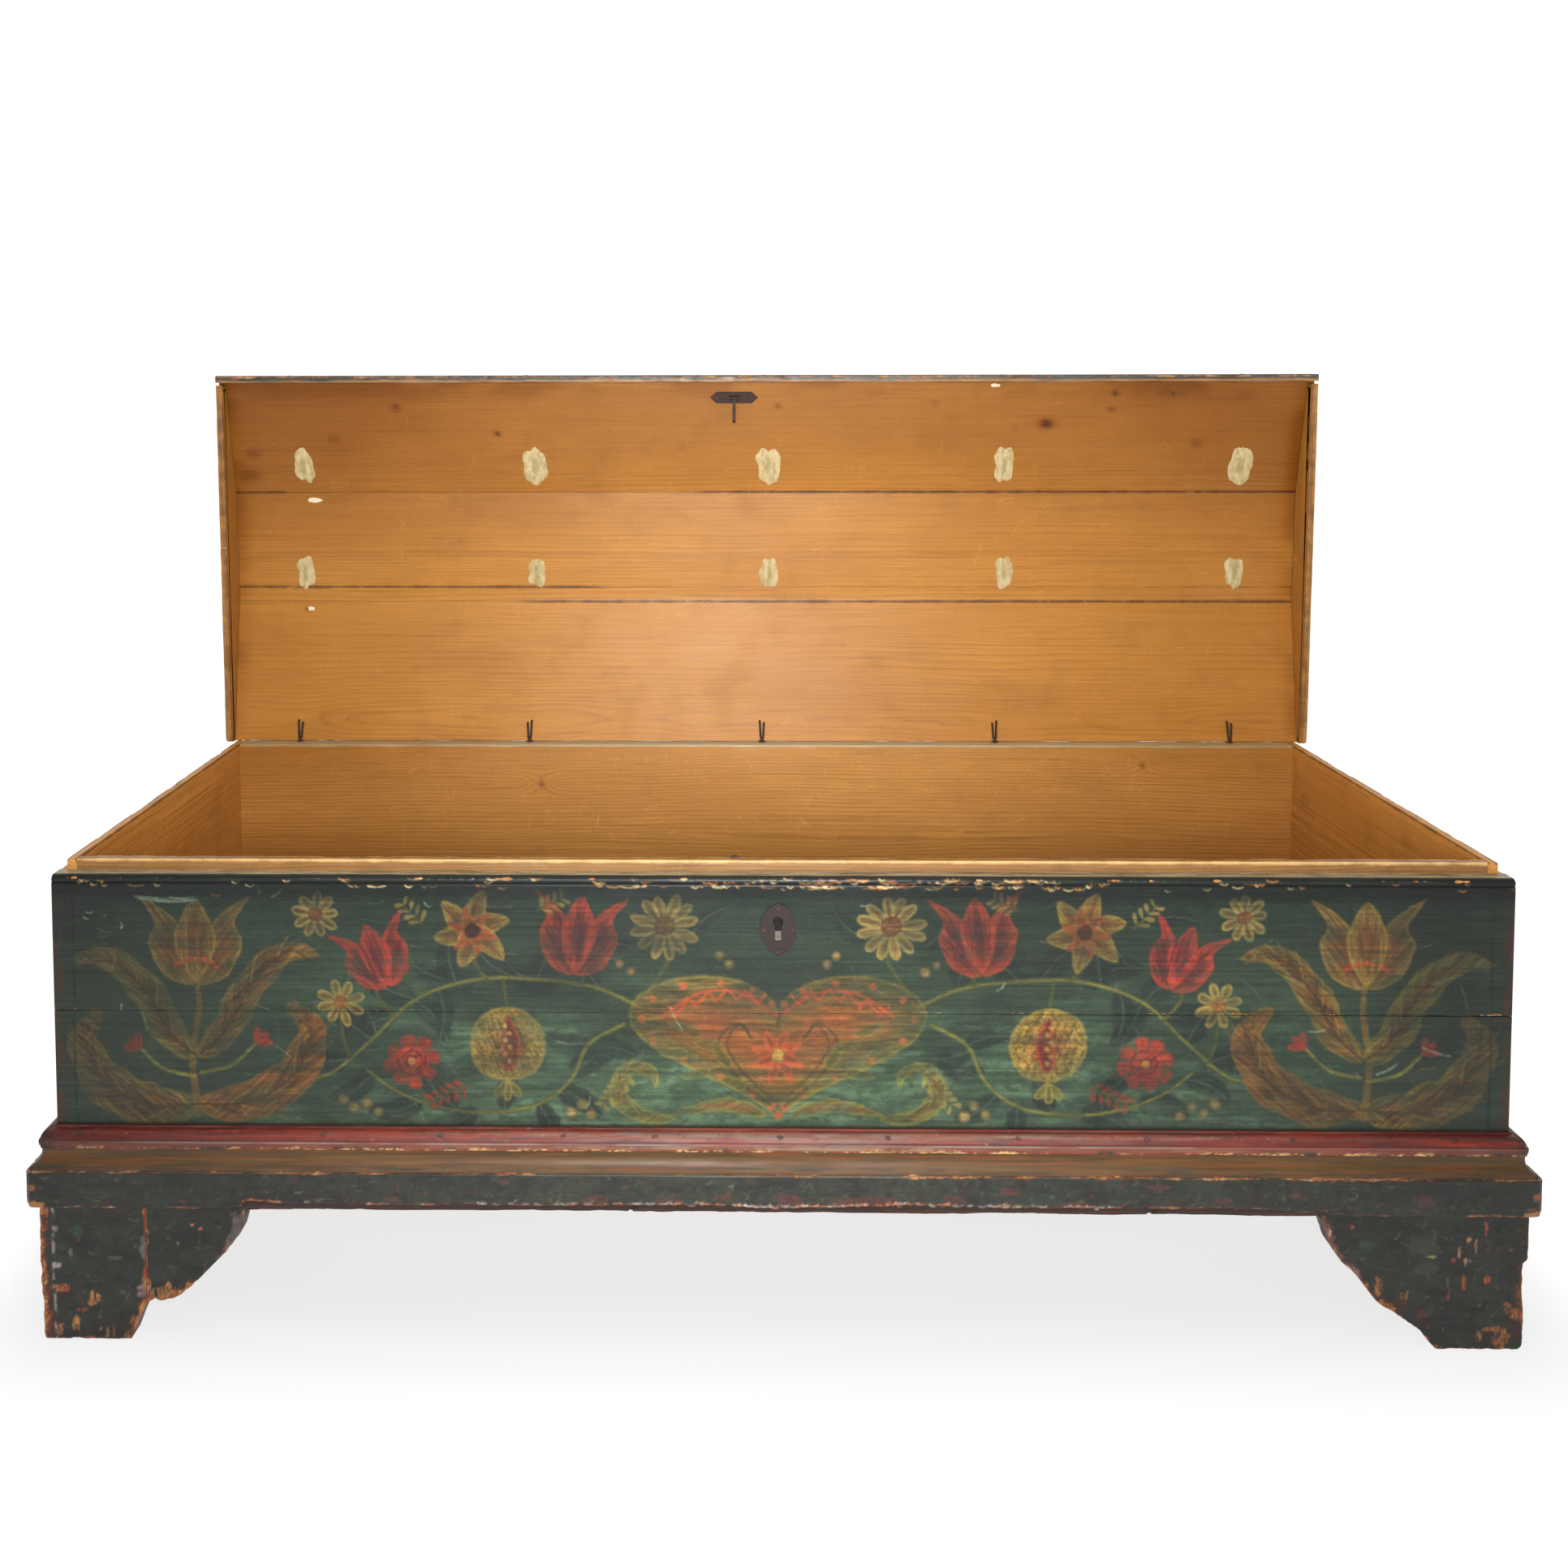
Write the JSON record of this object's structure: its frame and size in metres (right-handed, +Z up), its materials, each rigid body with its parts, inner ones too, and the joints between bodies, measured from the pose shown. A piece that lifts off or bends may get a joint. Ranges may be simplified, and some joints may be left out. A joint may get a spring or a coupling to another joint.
{
  "type": "storage chest",
  "caption": "Long painted wooden storage chest on bracket feet, with a hollow faceted lid on ring hinges, standing open, and a front lock with a sliding bolt.",
  "frame": {"origin": "on the floor, under the centre of the bounding box with the lid open", "axes": "+X along the length to the right as seen from the front, +Y towards the back, +Z up"},
  "size_m": [1.6524, 0.6268, 1.077],
  "materials": {
    "painted_boards": "dark green paint over pine, worn, with painted folk ornament on the front",
    "painted_base": "charcoal green paint, chipped at the edges to orange-brown ground",
    "red_moulding": "red paint, worn along the arris",
    "bare_pine": "bare aged pine",
    "lid_pine": "bare aged pine, lightly polished by use",
    "wrought_iron": "dark, lightly rusted",
    "putty": "dry cream wood filler"
  },
  "bodies": {
    "case": {"front_board_upper": "painted_boards", "front_board_lower": "painted_boards", "left_end_board": "painted_boards", "right_end_board": "painted_boards", "plinth_moulding_front": "painted_base", "plinth_moulding_left": "painted_base", "plinth_moulding_right": "painted_base", "foot_front_left_block": "painted_base", "foot_front_left_wing": "painted_base", "foot_front_left_side": "painted_base", "foot_front_right": "painted_base", "foot_front_right_side": "painted_base", "foot_back_left_side": "painted_base", "foot_back_right_side": "painted_base", "upper_moulding_front": "red_moulding", "upper_moulding_left": "red_moulding", "upper_moulding_right": "red_moulding", "front_rim_strip": "bare_pine", "back_board_lower": "bare_pine", "back_board_upper": "bare_pine", "bottom_board_front": "bare_pine", "bottom_board_middle": "bare_pine", "bottom_board_back": "bare_pine", "base_batten_left": "bare_pine", "base_batten_middle": "bare_pine", "base_batten_right": "bare_pine", "foot_back_left_rear": "bare_pine", "foot_back_right_rear": "bare_pine", "glue_block_front_left": "bare_pine", "glue_block_front_right": "bare_pine", "glue_block_back_left": "bare_pine", "glue_block_back_right": "bare_pine", "escutcheon": "wrought_iron", "escutcheon_nails": "wrought_iron", "lock_plate": "wrought_iron", "lock_case": "wrought_iron", "lock_spring": "wrought_iron", "key_pin": "wrought_iron", "lock_nails": "wrought_iron", "case_hinge_pins": "wrought_iron", "moulding_nails": "wrought_iron", "foot_nails": "wrought_iron", "back_board_nails": "wrought_iron"},
    "lid": {"lid_board_back": "lid_pine", "lid_filler_strip": "lid_pine", "lid_board_middle": "lid_pine", "lid_board_front": "lid_pine", "lid_cheek_left": "lid_pine", "lid_cheek_right": "lid_pine", "lid_nosing": "painted_boards", "lid_hinge_pins": "wrought_iron", "hasp_plate": "wrought_iron", "hasp_nails": "wrought_iron", "lid_nails": "wrought_iron", "lid_putty_fills": "putty"},
    "hasp": {"hasp_staple": "wrought_iron"},
    "bolt": {"lock_bolt": "wrought_iron"}
  },
  "joints": [
    {"name": "lid_hinge", "type": "hinge", "parent": "case", "child": "lid", "pos_m": [0, 0.26762, 0.53116], "axis": [1, 0, 0], "range_deg": [0, 88.5]},
    {"name": "staple_swing", "type": "hinge", "parent": "lid", "child": "hasp", "pos_m": [-0.0435, 0.25369, 1.04238], "axis": [1, 0, 0], "range_deg": [-88.5, 8]},
    {"name": "bolt_slide", "type": "slide", "parent": "case", "child": "bolt", "axis": [-1, 0, 0], "range_m": [0, 0.016]}
  ]
}
